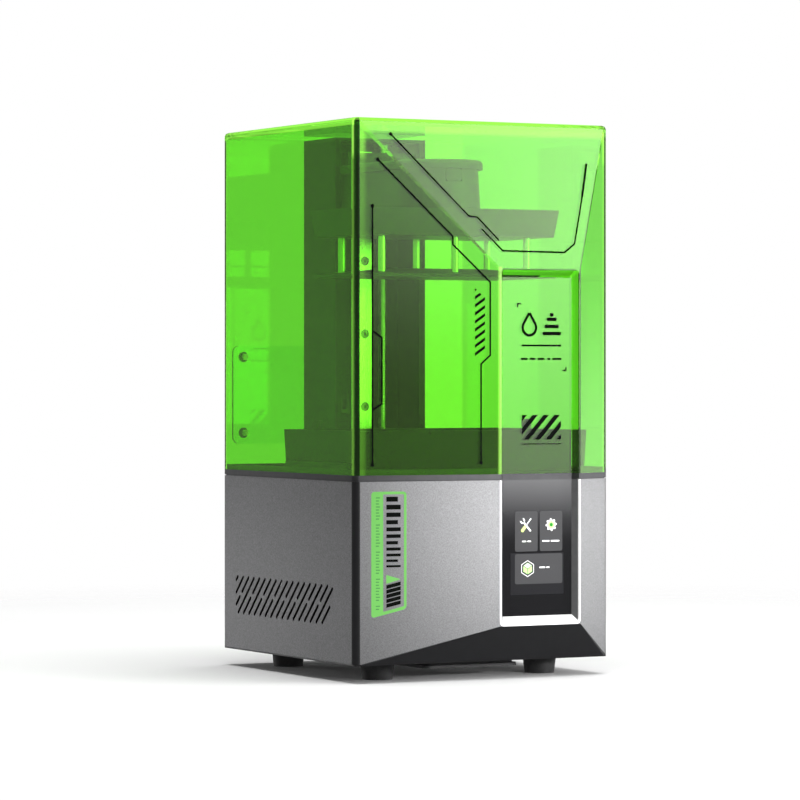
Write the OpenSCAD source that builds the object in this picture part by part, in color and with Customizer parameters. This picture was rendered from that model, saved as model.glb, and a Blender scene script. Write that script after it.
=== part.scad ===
// Desktop resin printer: a base with the light engine, a lift-off tinted cover,
// a resin vat over the exposure screen, and a screw-driven arm with the platform.
// Millimetres, +Z up, front towards -Y, origin under the middle of the whole box.

/* [Body] */
// Width of the body
body_w = 236; // [232:1:244]
// Depth of the body without the front bulge
body_d = 241; // [238:1:248]
// Height from the feet to the top of the cover
total_h = 451.5; // [450:0.5:470]
// How far the front panel's rim stands proud
bulge = 13.5; // [12:0.5:16]
// Radius of the upright corners
corner_r = 5; // [4:0.5:7]
// Height of the rubber feet
foot_h = 14.3; // [12:0.1:18]
// Top of the base shell
base_top = 161; // [158:0.5:163]
// Top of the deck, where the cover rests
deck_top = 166; // [165.5:0.5:167]

/* [Sunken front panel] */
// Left edge of the rim
rim_left = 7.5; // [4:0.5:12]
// Right edge of the rim
rim_right = 83.5; // [80:0.5:88]
// Lower edge of the rim
rim_bottom = 43; // [38:1:48]
// Upper edge of the rim
rim_top = 333; // [310:1:345]
// Flat width of the rim
rim_w = 1.5; // [1:0.1:2]
// Depth of the sunken panel
panel_depth = 5.5; // [4:0.5:6]
// Run of the sloping sides
side_slope = 4; // [3:0.5:5]
// Run of the sloping lower and upper ends
end_slope = 6; // [4:0.5:8]
// Rounding of the rim's corners
rim_r = 3.5; // [1:0.5:5]

/* [Cover] */
// Wall of the cover
cover_t = 3; // [2.5:0.1:3.2]
// Rounding of the top edges
top_r = 3; // [1:0.5:3]
// How far the rear hatch plate stands behind the cover
hatch_t = 2.5; // [2:0.5:3]
// Left edge of the rear hatch plate, seen from the front
hatch_left = -106.5; // [-108:0.5:-90]
// Right edge of the rear hatch plate, seen from the front
hatch_right = 46.5; // [30:0.5:70]
// Lower edge of the rear hatch plate
hatch_low = 187.3; // [180:0.1:195]
// Upper edge of the rear hatch plate
hatch_high = 270.9; // [250:0.1:290]

/* [Z axis] */
// Width of the tower
tower_w = 84; // [80:1:90]
// Height of the tower's top
tower_top = 446.5; // [440:0.5:447]
// Diameter of the lead screw
screw_d = 8; // [8:0.5:8.5]
// Spacing of the rail screws
rail_pitch = 62.4; // [60:0.1:63]
// Top of the arm's body
arm_top = 415.6; // [412:0.1:416]
// Height of the arm's body
arm_h = 32.6; // [30:0.1:32.6]
// Radius of the arm's nose at its foot
arm_r = 37; // [34:0.5:38]

/* [Platform] */
// Width of the platform block
block_w = 177; // [170:1:180]
// Depth of the platform block
block_d = 102; // [96:1:104]
// Width of the build plate
plate_w = 172; // [160:1:174]
// Depth of the build plate
plate_d = 100; // [92:1:104]
// Underside of the build plate with the arm raised
plate_low = 326; // [320:0.5:328]
// Diameter of the six plate posts
post_d = 6; // [5:0.5:7]

/* [Vat] */
// Width of the vat
vat_w = 205; // [200:1:206]
// Depth of the vat
vat_d = 141; // [136:1:142]
// Top of the vat
vat_top = 201; // [196:1:204]

/* [Hidden] */
eps = 0.01;
far = 400;
shell_t = 2;
front_t = 3;

// Middle of the plain body, and its front and back faces
mid_y = (bulge - hatch_t) / 2;
front_y = mid_y - body_d / 2;
back_y = mid_y + body_d / 2;
rim_y = front_y - bulge;
half_w = body_w / 2;

// Middle of the vat, the exposure screen and the platform
plate_y = mid_y - 39;

// Depths of the tower, its channel and the lead screw
tower_y0 = mid_y + 55.5;
tower_y1 = mid_y + 114;
channel_y = mid_y + 94;
channel_x = tower_w / 2 - 5.8;
screw_x = 16;
screw_y = mid_y + 84;
fit = 0.05;

// Heights on the arm
arm_low = arm_top - arm_h;
lid_top = arm_top + 7.4;
block_top = arm_low - 1;
block_low = 359.5;
post_top = 370;
spring_top = 378;
post_x = 68;
post_y = 33;

// Places on the back wall
fan_x = -62;
fan_z = 88;
fan_r = 27;
socket_z = 44;
usb_x = 34;
switch_x = 62;
inlet_x = 92;

// The two thumb knobs
knob_x = vat_w / 2 - 4.4;
knob_y = mid_y - 20;

foot_places = [for (x = [-76, 76], y = [-80, 80]) [x, mid_y + y]];
hatch_edge = 9.5;
hatch_places = [for (x = [hatch_left + hatch_edge, hatch_right - hatch_edge],
    z = [hatch_low + hatch_edge, hatch_high - hatch_edge]) [x, z]];
rail_screw_z = [for (i = [0:3]) 218.8 + i * rail_pitch];
post_places = [for (x = [-post_x, 0, post_x], y = [-post_y, post_y]) [x, plate_y + y]];

function arc(center, radius, from, to, steps = 8) =
    [for (i = [0:steps])
        center + radius * [cos(from + (to - from) * i / steps), sin(from + (to - from) * i / steps)]];

// Rounded outline of the plain body, moved in by inset
function body_outline(inset) =
    let (r = max(corner_r - inset, 0.4), x = half_w - inset - r, y0 = front_y + inset + r,
         y1 = back_y - inset - r)
    concat(
        arc([x, y0], r, -90, 0),
        arc([x, y1], r, 0, 90),
        arc([-x, y1], r, 90, 180),
        arc([-x, y0], r, 180, 270));

// Outline at the height of the rim: two slanted faces run from the corners to the rim
corner_step = 90 / 8;
left_steps = 8 - round(atan(bulge / (half_w - corner_r + rim_left)) / corner_step);
right_steps = 8 - round(atan(bulge / (half_w - corner_r - rim_right)) / corner_step);
function rim_outline(inset) =
    let (r = max(corner_r - inset, 0.4), x = half_w - inset - r, y0 = front_y + inset + r,
         y1 = back_y - inset - r)
    concat(
        arc([-x, y0], r, 180, 180 + left_steps * corner_step, left_steps),
        [[rim_left, rim_y + inset], [rim_right, rim_y + inset]],
        arc([x, y0], r, 360 - right_steps * corner_step, 360, right_steps),
        arc([x, y1], r, 0, 90),
        arc([-x, y1], r, 90, 180));

module slab(points, z0, z1) {
    translate([0, 0, z0]) linear_extrude(z1 - z0) polygon(points);
}

module box(low, high) {
    translate(low) cube(high - low);
}

// A flat outline in X and Z, given depth along Y
module upright(points, y0, y1) {
    translate([0, y1, 0]) rotate([90, 0, 0]) linear_extrude(y1 - y0) polygon(points);
}

// A rounded rectangle in X and Z
function rounded_outline(x0, z0, x1, z1, r) =
    concat(
        arc([x1 - r, z1 - r], r, 0, 90),
        arc([x0 + r, z1 - r], r, 90, 180),
        arc([x0 + r, z0 + r], r, 180, 270),
        arc([x1 - r, z0 + r], r, 270, 360));

// A cylinder along Y
module rod_y(x, z, y0, y1, r, sides = 48) {
    translate([x, y0, z]) rotate([-90, 0, 0]) cylinder(r = r, h = y1 - y0, $fn = sides);
}

module rod_z(x, y, z0, z1, r, sides = 48) {
    translate([x, y, z0]) cylinder(r = r, h = z1 - z0, $fn = sides);
}

// A cone along Z
module rod_cone(x, y, z0, z1, r0, r1) {
    translate([x, y, z0]) cylinder(r1 = r0, r2 = r1, h = z1 - z0, $fn = 64);
}

// A plate with rounded upright edges, made of exact faces
module rounded_plate(w, d, r, z0, z1) {
    box([-w / 2 + r, -d / 2, z0], [w / 2 - r, d / 2, z1]);
    box([-w / 2, -d / 2 + r, z0], [w / 2, d / 2 - r, z1]);
    for (x = [-1, 1], y = [-1, 1])
        rod_z(x * (w / 2 - r), y * (d / 2 - r), z0, z1, r, 32);
}

// A block that narrows from one level to the next
module tapered_block(size0, z0, size1, z1) {
    hull() {
        box([-size0[0] / 2, -size0[1] / 2, z0], [size0[0] / 2, size0[1] / 2, z0 + eps]);
        box([-size1[0] / 2, -size1[1] / 2, z1 - eps], [size1[0] / 2, size1[1] / 2, z1]);
    }
}

// The whole closed outside of base and cover, moved in by inset
module body_solid(inset) {
    top_z = total_h - inset;
    hull() {
        slab(body_outline(inset), foot_h, foot_h + eps);
        slab(rim_outline(inset), rim_bottom + inset / 2, rim_top - inset / 2);
        slab(body_outline(inset), top_z - top_r, top_z - top_r + eps);
        slab(body_outline(inset + top_r * 0.3), top_z - top_r * 0.3 - eps, top_z - top_r * 0.3);
        slab(body_outline(inset + top_r), top_z - eps, top_z);
    }
}

// The space of the sunken panel, from the rim's opening to its flat floor
panel_x0 = rim_left + rim_w;
panel_x1 = rim_right - rim_w;
panel_z0 = rim_bottom + rim_w;
panel_z1 = rim_top - rim_w;
floor_x0 = panel_x0 + side_slope;
floor_x1 = panel_x1 - side_slope;
floor_z0 = panel_z0 + end_slope;
floor_z1 = panel_z1 - end_slope;
floor_y = rim_y + panel_depth;
opening_r = rim_r - rim_w / 2;
module sunken_panel(grow) {
    hull() {
        upright(
            rounded_outline(
                panel_x0 - grow, panel_z0 - grow, panel_x1 + grow, panel_z1 + grow, opening_r + grow),
            rim_y - 1, rim_y);
        upright(
            rounded_outline(floor_x0 - grow, floor_z0 - grow, floor_x1 + grow, floor_z1 + grow, 1 + grow),
            floor_y + grow - eps, floor_y + grow);
    }
}

// The outline of the rim, which the base's front leaves open
module rim_block(y0, y1, top) {
    intersection() {
        upright(rounded_outline(rim_left, rim_bottom, rim_right, rim_top, rim_r), y0, y1);
        box([-far, y0, 0], [far, y1, top]);
    }
}

// ---- base: outside pieces ----

// Slanted air slots: every second slot is broken in the middle
vent_y0 = mid_y - 82;
vent_y1 = mid_y + 94;
vent_z0 = 46;
vent_z1 = 76;
vent_pitch = 10.3;
vent_r = 1.4;
vent_gap = 4.4;
module vent_slot(x, top_y, low, high) {
    z0 = max(low, vent_z1 + top_y - vent_y1);
    z1 = min(high, vent_z1 + top_y - vent_y0);
    if (z1 - z0 > 1)
        for (side = [-1, 1])
            translate([side * x, top_y + vent_z1 - z0, z0]) rotate([45, 0, 0]) {
                box([-3, -vent_r, 0], [3, vent_r, (z1 - z0) * sqrt(2)]);
                for (end = [0, (z1 - z0) * sqrt(2)])
                    translate([-3, 0, end]) rotate([0, 90, 0]) cylinder(r = vent_r, h = 6, $fn = 24);
            }
}

module vents() {
    middle = (vent_z0 + vent_z1) / 2 + 0.5;
    for (i = [0:18]) {
        top_y = vent_y1 - 2.7 - vent_pitch * i;
        if (i % 2 == 1) vent_slot(half_w, top_y, vent_z0, vent_z1);
        if (i % 2 == 0) vent_slot(half_w, top_y, vent_z0, middle - vent_gap / 2);
        if (i % 2 == 0) vent_slot(half_w, top_y, middle + vent_gap / 2, vent_z1);
    }
}

// Bevel along the foot of the base, cut by a square bar on its corner
foot_bevel = 1.5;
module foot_bevels() {
    bar = foot_bevel * sqrt(2);
    for (x = [-half_w, half_w])
        translate([x, mid_y, foot_h]) rotate([0, 45, 0]) cube([bar, 2 * far, bar], center = true);
    for (y = [front_y, back_y])
        translate([0, y, foot_h]) rotate([45, 0, 0]) cube([2 * far, bar, bar], center = true);
}

split_y = front_y + corner_r;
module base_shell() {
    color("dimgray")
    difference() {
        slab(body_outline(0), foot_h, base_top);
        slab(body_outline(shell_t), foot_h - 1, base_top + 1);
        box([-far, front_y - 1, 0], [far, split_y, base_top + 1]);
        foot_bevels();
        vents();
        for (i = [-3:3])
            box([fan_x + i * 7.5 - 2.2, back_y - 4, fan_z - sqrt(fan_r * fan_r - 56 * i * i)],
                [fan_x + i * 7.5 + 2.2, back_y + 1, fan_z + sqrt(fan_r * fan_r - 56 * i * i)]);
        rod_y(inlet_x, socket_z, back_y - 4, back_y + 1, 5.6);
        box([switch_x - 9.5, back_y - 4, socket_z - 6.5], [switch_x + 9.5, back_y + 1, socket_z + 6.5]);
        box([usb_x - 7.2, back_y - 4, socket_z - 3.6], [usb_x + 7.2, back_y + 1, socket_z + 3.6]);
    }
    color("dimgray")
    for (side = [-1, 1])
        box([side * (half_w - 7) - 5.2, split_y, foot_h + 2],
            [side * (half_w - 7) + 5.2, split_y + 2, base_top]);
}

chin_outline = [[-far, -far], [far, -far], [far, foot_h - 2], [half_w, foot_h], [rim_right, rim_bottom],
    [rim_left, rim_bottom], [-half_w, foot_h], [-far, foot_h - 2]];

// Curved front of the base, from which its two visible pieces are cut
module front_shell() {
    difference() {
        intersection() {
            body_solid(0);
            box([-far, rim_y - 1, foot_h], [far, split_y, base_top]);
        }
        body_solid(front_t);
        rim_block(rim_y - 1, split_y, base_top + 1);
        foot_bevels();
    }
}

// The chin and the upright strip at the left corner, which are one black piece
module chin_cut() {
    upright(chin_outline, rim_y - 2, split_y + 1);
    box([-far, rim_y - 2, 0], [corner_r - half_w, split_y + 1, far]);
}

// Two panels, one on each side of the screen column
module front_fascia() {
    color("silver")
    difference() {
        front_shell();
        chin_cut();
    }
}

module front_chin() {
    color([0.09, 0.09, 0.1])
    intersection() {
        front_shell();
        chin_cut();
    }
}

module bottom_plate() {
    color([0.12, 0.12, 0.13])
    difference() {
        union() {
            slab(body_outline(front_t + 0.2), foot_h, foot_h + 2);
            difference() {
                slab(body_outline(shell_t + 0.2), foot_h, foot_h + 2);
                box([-far, front_y - 1, foot_h - 1], [far, split_y + 0.2, foot_h + 3]);
            }
        }
        for (p = foot_places) rod_z(p[0], p[1], foot_h - 1, foot_h + 3, 2.1);
        for (x = [-4:4], y = [0:2])
            box([x * 9 - 2, mid_y + 70 + y * 14, foot_h - 1], [x * 9 + 2, mid_y + 80 + y * 14, foot_h + 3]);
    }
}

module service_cover() {
    color([0.1, 0.1, 0.11])
    translate([0, mid_y - 27, 0])
    union() {
        rounded_plate(87, 150, 6, 8.5, 11);
        rounded_plate(81, 144, 4, 11, foot_h);
    }
}

module feet() {
    color([0.05, 0.05, 0.05])
    for (p = foot_places)
        difference() {
            rod_cone(p[0], p[1], 0, foot_h, 12.3, 14);
            rod_z(p[0], p[1], -1, 5, 5);
            rod_z(p[0], p[1], 4, foot_h + 1, 2.1);
        }
}

module foot_screws() {
    color("gray")
    for (p = foot_places)
        difference() {
            union() {
                rod_z(p[0], p[1], 5, foot_h + 6, 2);
                rod_z(p[0], p[1], 2.4, 5, 3.8);
            }
            rod_z(p[0], p[1], 1, 4, 1.4, 6);
        }
}

// ---- base: screen in the sunken panel ----

trim_back = 2.2;
glass_t = 1.2;
bevel_outline = [[panel_x0 - 4, rim_bottom], [panel_x0, panel_z0], [floor_x0, floor_z0],
    [floor_x1, floor_z0], [panel_x1, panel_z0], [panel_x1 + 4, rim_bottom]];

module panel_lining() {
    difference() {
        intersection() {
            sunken_panel(trim_back);
            rim_block(rim_y, split_y, base_top);
        }
        sunken_panel(0);
    }
}

module screen_trim() {
    color("white")
    intersection() {
        panel_lining();
        union() {
            box([rim_left, rim_y, rim_bottom], [rim_right, rim_y + 0.8, base_top]);
            upright(bevel_outline, rim_y, floor_y);
        }
    }
}

screen_x = (rim_left + rim_right) / 2;
screen_w = 51.8;
screen_z0 = 70;
screen_h = 86.4;
module screen_bezel() {
    color([0.04, 0.04, 0.045])
    difference() {
        panel_lining();
        box([rim_left - 1, rim_y - 1, rim_bottom - 1], [rim_right + 1, rim_y + 0.8, base_top + 1]);
        upright(bevel_outline, rim_y - 1, floor_y);
        box([floor_x0, floor_y - eps, floor_z0], [floor_x1, floor_y + glass_t, base_top + 1]);
        box([screen_x - screen_w / 2, floor_y, screen_z0],
            [screen_x + screen_w / 2, floor_y + 5, screen_z0 + screen_h]);
    }
}

module touch_glass() {
    color([0.02, 0.02, 0.025])
    box([floor_x0, floor_y, floor_z0], [floor_x1, floor_y + glass_t, base_top]);
}

module display_module() {
    color([0.2, 0.2, 0.22]) {
        box([screen_x - screen_w / 2, floor_y + glass_t, screen_z0],
            [screen_x + screen_w / 2, floor_y + 3.4, screen_z0 + screen_h]);
        box([screen_x - 29, floor_y + 3.4, screen_z0 - 5],
            [screen_x + 29, floor_y + 5, screen_z0 + screen_h + 1]);
        box([screen_x - 12, floor_y + 5, screen_z0 + 2], [screen_x + 12, floor_y + 8, screen_z0 + 8]);
    }
}

module display_ribbon() {
    color("whitesmoke") {
        box([screen_x - 8, floor_y + 8, screen_z0 + 3], [screen_x + 8, floor_y + 8.4, screen_z0 + 7]);
        box([screen_x - 8, floor_y + 8, 30], [screen_x + 8, floor_y + 8.4, screen_z0 + 3]);
        box([screen_x - 8, floor_y + 8, 29.6], [screen_x + 8, mid_y + 42, 30]);
    }
}

// ---- deck ----

lip_out = cover_t + 0.5;
lip_in = lip_out + 2;
lip_h = 4.5;
seal_in = 0.7;
seal_out = 2.3;
deck_edge = 9;

// Shadow gap between the deck and the base
gap_in = 1.2;
gap_h = 0.7;
module deck_frame() {
    color([0.3, 0.3, 0.32]) {
        difference() {
            union() {
                slab(rim_outline(gap_in), base_top, base_top + gap_h);
                slab(rim_outline(0), base_top + gap_h, deck_top);
            }
            slab(rim_outline(deck_edge), base_top - 1, deck_top + 1);
            sunken_panel(0);
            difference() {
                slab(rim_outline(seal_in), deck_top - 1, deck_top + 1);
                slab(rim_outline(seal_out), deck_top - 2, deck_top + 2);
                sunken_panel(seal_in + 1.5);
            }
        }
        difference() {
            slab(rim_outline(lip_out), deck_top - eps, deck_top + lip_h);
            slab(rim_outline(lip_in), deck_top - 1, deck_top + lip_h + 1);
            sunken_panel(lip_out);
        }
    }
}

module cover_seal() {
    color([0.07, 0.07, 0.07])
    difference() {
        slab(rim_outline(seal_in), deck_top - 1, deck_top);
        slab(rim_outline(seal_out), deck_top - 2, deck_top + 1);
        sunken_panel(seal_in + 1.5);
    }
}

lcd_w = 172;
lcd_d = 112;
module deck_plate() {
    color([0.2, 0.2, 0.21])
    difference() {
        slab(rim_outline(deck_edge), base_top, deck_top);
        translate([0, plate_y, 0]) {
            box([-lcd_w / 2, -lcd_d / 2, base_top + 3], [lcd_w / 2, lcd_d / 2, deck_top + 1]);
            box([-80, -50, base_top - 1], [80, 50, deck_top]);
        }
        rod_z(screw_x, screw_y, base_top - 1, deck_top + 1, 12);
        for (x = [-knob_x, knob_x]) rod_z(x, knob_y, base_top - 1, deck_top + 1, 2.05);
        for (x = [-15.5, 15.5], y = [-15.5, 15.5])
            rod_z(screw_x + x, screw_y + y, base_top - 1, deck_top + 1, 1.6);
    }
}

module lcd_panel() {
    color([0.05, 0.05, 0.07])
    translate([0, plate_y, 0]) box([-lcd_w / 2, -lcd_d / 2, base_top + 3], [lcd_w / 2, lcd_d / 2, deck_top]);
}

module lcd_tape() {
    color([0.02, 0.02, 0.02])
    translate([0, plate_y, 0])
    difference() {
        box([-lcd_w / 2 - 3, -lcd_d / 2 - 3, deck_top], [lcd_w / 2 + 3, lcd_d / 2 + 3, deck_top + 0.2]);
        box([-76.7, -44.7, deck_top - 1], [76.7, 44.7, deck_top + 1]);
    }
}

// ---- light engine under the deck ----

lens_z = 128;
board_z = 70;
module light_housing() {
    color([0.16, 0.16, 0.17])
    translate([0, plate_y, 0]) {
        difference() {
            tapered_block([128, 92], board_z, [170, 110], base_top);
            tapered_block([122, 86], board_z - eps, [164, 104], base_top + eps);
        }
        difference() {
            box([-92, -61, base_top - 3], [92, 61, base_top]);
            box([-81.5, -51.5, base_top - 4], [81.5, 51.5, base_top + 1]);
        }
        difference() {
            box([-74.6, -49, lens_z - 3], [74.6, 49, lens_z]);
            box([-64, -38, lens_z - 4], [64, 38, lens_z + 1]);
        }
    }
}

module collimating_lens() {
    color([0.8, 0.9, 0.95, 0.5])
    translate([0, plate_y, 0]) {
        box([-70, -44, lens_z], [70, 44, lens_z + 3]);
        intersection() {
            translate([0, 0, lens_z - 110]) sphere(r = 125, $fn = 96);
            box([-66, -40, lens_z + 3], [66, 40, lens_z + 20]);
        }
    }
}

module led_board() {
    color("darkgreen")
    translate([0, plate_y, 0]) {
        box([-64, -46, board_z - 1.6], [64, 46, board_z]);
        for (x = [-2.5:2.5], y = [-1.5:1.5]) {
            rod_z(x * 18, y * 18, board_z, board_z + 1.2, 3, 24);
            translate([x * 18, y * 18, board_z + 1.2]) cylinder(r1 = 2.6, r2 = 1.4, h = 1.6, $fn = 24);
        }
    }
}

module led_heatsink() {
    color("silver")
    translate([0, plate_y, 0]) {
        box([-64, -46, board_z - 7.6], [64, 46, board_z - 1.6]);
        for (i = [0:15]) box([-64, -46 + i * 6, board_z - 32], [64, -44 + i * 6, board_z - 7.6]);
    }
}

// ---- electronics and sockets at the back ----

board_top = 25.6;
module mainboard() {
    color([0.05, 0.25, 0.12]) {
        box([-70, mid_y + 40, board_top - 1.6], [80, mid_y + 108, board_top]);
        for (x = [-64, 74], y = [46, 102]) rod_z(x, mid_y + y, foot_h + 2, board_top - 1.6, 3, 24);
        for (i = [0:3]) box([-60 + i * 18, mid_y + 80, board_top], [-48 + i * 18, mid_y + 92, board_top + 8]);
        box([20, mid_y + 60, board_top], [44, mid_y + 84, board_top + 2.4]);
        box([screen_x - 10, mid_y + 42, board_top], [screen_x + 10, mid_y + 47, board_top + 6]);
        for (i = [0:4]) rod_z(60, mid_y + 52 + i * 9, board_top, board_top + 9, 3.4, 24);
    }
}

fan_y1 = back_y - shell_t;
fan_y0 = fan_y1 - 15;
module fan_frame() {
    color([0.06, 0.06, 0.06]) {
        difference() {
            box([fan_x - 30, fan_y0, fan_z - 30], [fan_x + 30, fan_y1, fan_z + 30]);
            rod_y(fan_x, fan_z, fan_y0 - 1, fan_y1 + 1, fan_r + 1.4, 72);
            for (x = [-25, 25], z = [-25, 25]) rod_y(fan_x + x, fan_z + z, fan_y0 - 1, fan_y1 + 1, 2.1, 24);
        }
        rod_y(fan_x, fan_z, fan_y0, fan_y0 + 2.5, 11);
        for (turn = [0:90:270])
            translate([fan_x, fan_y0, fan_z]) rotate([0, turn, 0]) box([-1.5, 0.4, 10], [1.5, 2, fan_r + 2]);
        rod_y(fan_x, fan_z, fan_y0 + 2, fan_y0 + 9, 2);
    }
}

module fan_rotor() {
    color([0.1, 0.1, 0.1])
    difference() {
        union() {
            rod_y(fan_x, fan_z, fan_y0 + 3.2, fan_y1 - 1, 10);
            for (i = [0:6])
                translate([fan_x, (fan_y0 + fan_y1) / 2 + 1, fan_z]) rotate([0, i * 360 / 7, 0])
                    translate([0, 0, 9]) rotate([0, 0, 38]) box([-0.8, -6, 0], [0.8, 6, 17]);
        }
        rod_y(fan_x, fan_z, fan_y0, fan_y0 + 9.5, 2 + fit);
    }
}

module usb_socket() {
    color("gainsboro")
    difference() {
        box([usb_x - 7, back_y - 16, socket_z - 3.4], [usb_x + 7, back_y + 0.3, socket_z + 3.4]);
        box([usb_x - 6.3, back_y - 12, socket_z - 2.7], [usb_x + 6.3, back_y + 1, socket_z + 2.7]);
    }
}

module power_inlet() {
    color([0.05, 0.05, 0.05]) {
        difference() {
            union() {
                rod_y(inlet_x, socket_z, back_y, back_y + 1.6, 7);
                rod_y(inlet_x, socket_z, back_y - 14, back_y, 5.4);
            }
            rod_y(inlet_x, socket_z, back_y - 11, back_y + 2, 3.2);
        }
        rod_y(inlet_x, socket_z, back_y - 11.5, back_y - 1, 1.1, 24);
    }
}

rocker_y = back_y + 0.2;
module switch_housing() {
    color([0.05, 0.05, 0.05])
    difference() {
        union() {
            box([switch_x - 10.5, back_y, socket_z - 7.5], [switch_x + 10.5, back_y + 1, socket_z + 7.5]);
            box([switch_x - 9.4, back_y - 16, socket_z - 6.4], [switch_x + 9.4, back_y, socket_z + 6.4]);
        }
        box([switch_x - 8, back_y - 11, socket_z - 5], [switch_x + 8, back_y + 2, socket_z + 5]);
        rod_z(switch_x, rocker_y - 3.5, socket_z - 6, socket_z + 6, 1.05, 24);
    }
}

module switch_rocker() {
    color([0.12, 0.12, 0.12]) {
        difference() {
            box([switch_x - 6.9, rocker_y - 6, socket_z - 4.6],
                [switch_x + 6.9, rocker_y + 1.6, socket_z + 4.6]);
            rod_z(switch_x, rocker_y + 12.2, socket_z - 6, socket_z + 6, 12, 96);
        }
        rod_z(switch_x, rocker_y - 3.5, socket_z - 5.8, socket_z + 5.8, 1, 24);
    }
}

// ---- tower and z drive ----

tower_foot = deck_top;
module tower() {
    color([0.17, 0.17, 0.18]) {
        difference() {
            box([-tower_w / 2, tower_y0, tower_foot], [tower_w / 2, tower_y1, tower_top - 3]);
            box([-channel_x, tower_y0 - 1, tower_foot + 6], [channel_x, channel_y, tower_top]);
            box([-channel_x, channel_y + 4, tower_foot - 1], [channel_x, tower_y1 - 3, tower_top]);
            rod_z(screw_x, screw_y, tower_foot - 1, tower_foot + 7, 12);
            for (z = rail_screw_z) rod_y(0, z, channel_y - 1, channel_y + 5, 1.7, 24);
        }
    }
}

module tower_cap() {
    color([0.12, 0.12, 0.13])
    difference() {
        box([-tower_w / 2, tower_y0, tower_top - 3], [tower_w / 2, tower_y1, tower_top]);
        for (x = [-34, 34]) rod_z(x, tower_y1 - 10, tower_top - 1.6, tower_top + 1, 3, 24);
    }
}

rail_w = 13;
rail_y = channel_y - 8;
rail_z0 = 176;
rail_z1 = 437;
module z_rail() {
    color([0.85, 0.85, 0.87])
    difference() {
        box([-rail_w / 2, rail_y, rail_z0], [rail_w / 2, channel_y, rail_z1]);
        for (side = [-1, 1])
            translate([side * rail_w / 2, rail_y + 3.2, 0]) rotate([0, 0, 45])
                box([-1, -1, rail_z0 - 1], [1, 1, rail_z1 + 1]);
        for (z = rail_screw_z) {
            rod_y(0, z, rail_y - 1, rail_y + 3.6, 3.9, 32);
            rod_y(0, z, rail_y + 3, channel_y + 1, 1.7, 24);
        }
    }
}

module rail_screws() {
    color([0.4, 0.4, 0.42])
    for (z = rail_screw_z)
        difference() {
            union() {
                rod_y(0, z, rail_y + 0.6, rail_y + 3.6, 3.3, 32);
                rod_y(0, z, rail_y + 3.6, channel_y + 3.6, 1.6, 24);
            }
            rod_y(0, z, rail_y, rail_y + 2.4, 1.7, 6);
        }
}

motor_top = base_top;
module z_motor() {
    color([0.08, 0.08, 0.08])
    translate([screw_x, screw_y, 0])
    difference() {
        union() {
            rounded_plate(42, 42, 4, motor_top - 34, motor_top - 26);
            rounded_plate(42, 42, 5.5, motor_top - 26, motor_top - 9);
            rounded_plate(42, 42, 4, motor_top - 9, motor_top);
            rod_z(0, 0, motor_top, motor_top + 2, 11);
        }
        rod_z(0, 0, motor_top - 20, motor_top + 3, 2.5 + fit);
        for (x = [-15.5, 15.5], y = [-15.5, 15.5]) rod_z(x, y, motor_top - 6, motor_top + 1, 1.5, 24);
    }
}

module motor_shaft() {
    color("silver") rod_z(screw_x, screw_y, motor_top - 19, motor_top + 14, 2.5, 32);
}

coupler_z0 = motor_top + 4;
coupler_z1 = coupler_z0 + 24;
screw_r = screw_d / 2;
module shaft_coupler() {
    color([0.75, 0.75, 0.78])
    difference() {
        rod_z(screw_x, screw_y, coupler_z0, coupler_z1, 7.5);
        rod_z(screw_x, screw_y, coupler_z0 - 1, motor_top + 14, 2.5);
        rod_z(screw_x, screw_y, motor_top + 14, coupler_z1 + 1, screw_r);
        for (z = [4:3:20])
            translate([screw_x, screw_y, coupler_z0 + z]) rotate([0, 0, z * 60]) box([-8, 2, 0], [8, 9, 0.8]);
    }
}

module lead_screw() {
    color([0.8, 0.8, 0.8]) rod_z(screw_x, screw_y, motor_top + 14, tower_top - 4, screw_r);
}

module top_bearing() {
    color([0.7, 0.7, 0.72])
    difference() {
        union() {
            rod_z(screw_x, screw_y, tower_top - 7, tower_top - 3, 7);
            box([screw_x - 4, screw_y + 5, tower_top - 7], [screw_x + 4, channel_y, tower_top - 3]);
        }
        rod_z(screw_x, screw_y, tower_top - 8, tower_top - 3.5, screw_r + fit);
    }
}

sensor_z = 214;
module home_sensor() {
    color([0.06, 0.06, 0.06])
    difference() {
        box([-channel_x, tower_y0 + 8, sensor_z], [-channel_x + 12, tower_y0 + 17, sensor_z + 12]);
        box([-channel_x + 5, tower_y0 + 7, sensor_z + 3], [-channel_x + 9, tower_y0 + 18, sensor_z + 13]);
    }
}

flag_z = 376.5;
module sensor_flag() {
    color([0.75, 0.75, 0.77]) {
        box([-channel_x + 6.5, tower_y0 + 9, flag_z], [-channel_x + 7.5, tower_y0 + 15, arm_low + 3]);
    }
}

bracket_low = arm_low + 3;
bracket_top = 434.5;
carriage_y = rail_y - 8;
module rail_carriage() {
    color([0.72, 0.72, 0.74])
    difference() {
        box([-10, carriage_y, bracket_low + 5], [10, channel_y - 2.6, bracket_top - 5]);
        box([-rail_w / 2 - 0.1, rail_y - 0.1, bracket_low], [rail_w / 2 + 0.1, channel_y + 1, bracket_top]);
    }
}

nut_r = 5.1;
module carriage_bracket() {
    color([0.15, 0.15, 0.16])
    difference() {
        union() {
            box([-31, tower_y0 - 2, bracket_low], [31, carriage_y, bracket_top]);
            box([10.3, carriage_y, bracket_low], [31, channel_y - 2, bracket_top]);
        }
        rod_z(screw_x, screw_y, bracket_low - 1, bracket_top + 1, nut_r);
        for (z = [10, 36], x = [-6, 6]) rod_y(x, bracket_low + z, carriage_y - 6, carriage_y + 1, 1.5, 24);
    }
}

module lead_nut() {
    color("goldenrod")
    difference() {
        union() {
            rod_z(screw_x, screw_y, bracket_low, bracket_low + 22, nut_r);
            rod_z(screw_x, screw_y, bracket_low - 3.5, bracket_low, 8.2);
        }
        rod_z(screw_x, screw_y, bracket_low - 4, bracket_low + 23, screw_r + fit);
    }
}

// ---- arm and platform ----

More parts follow.
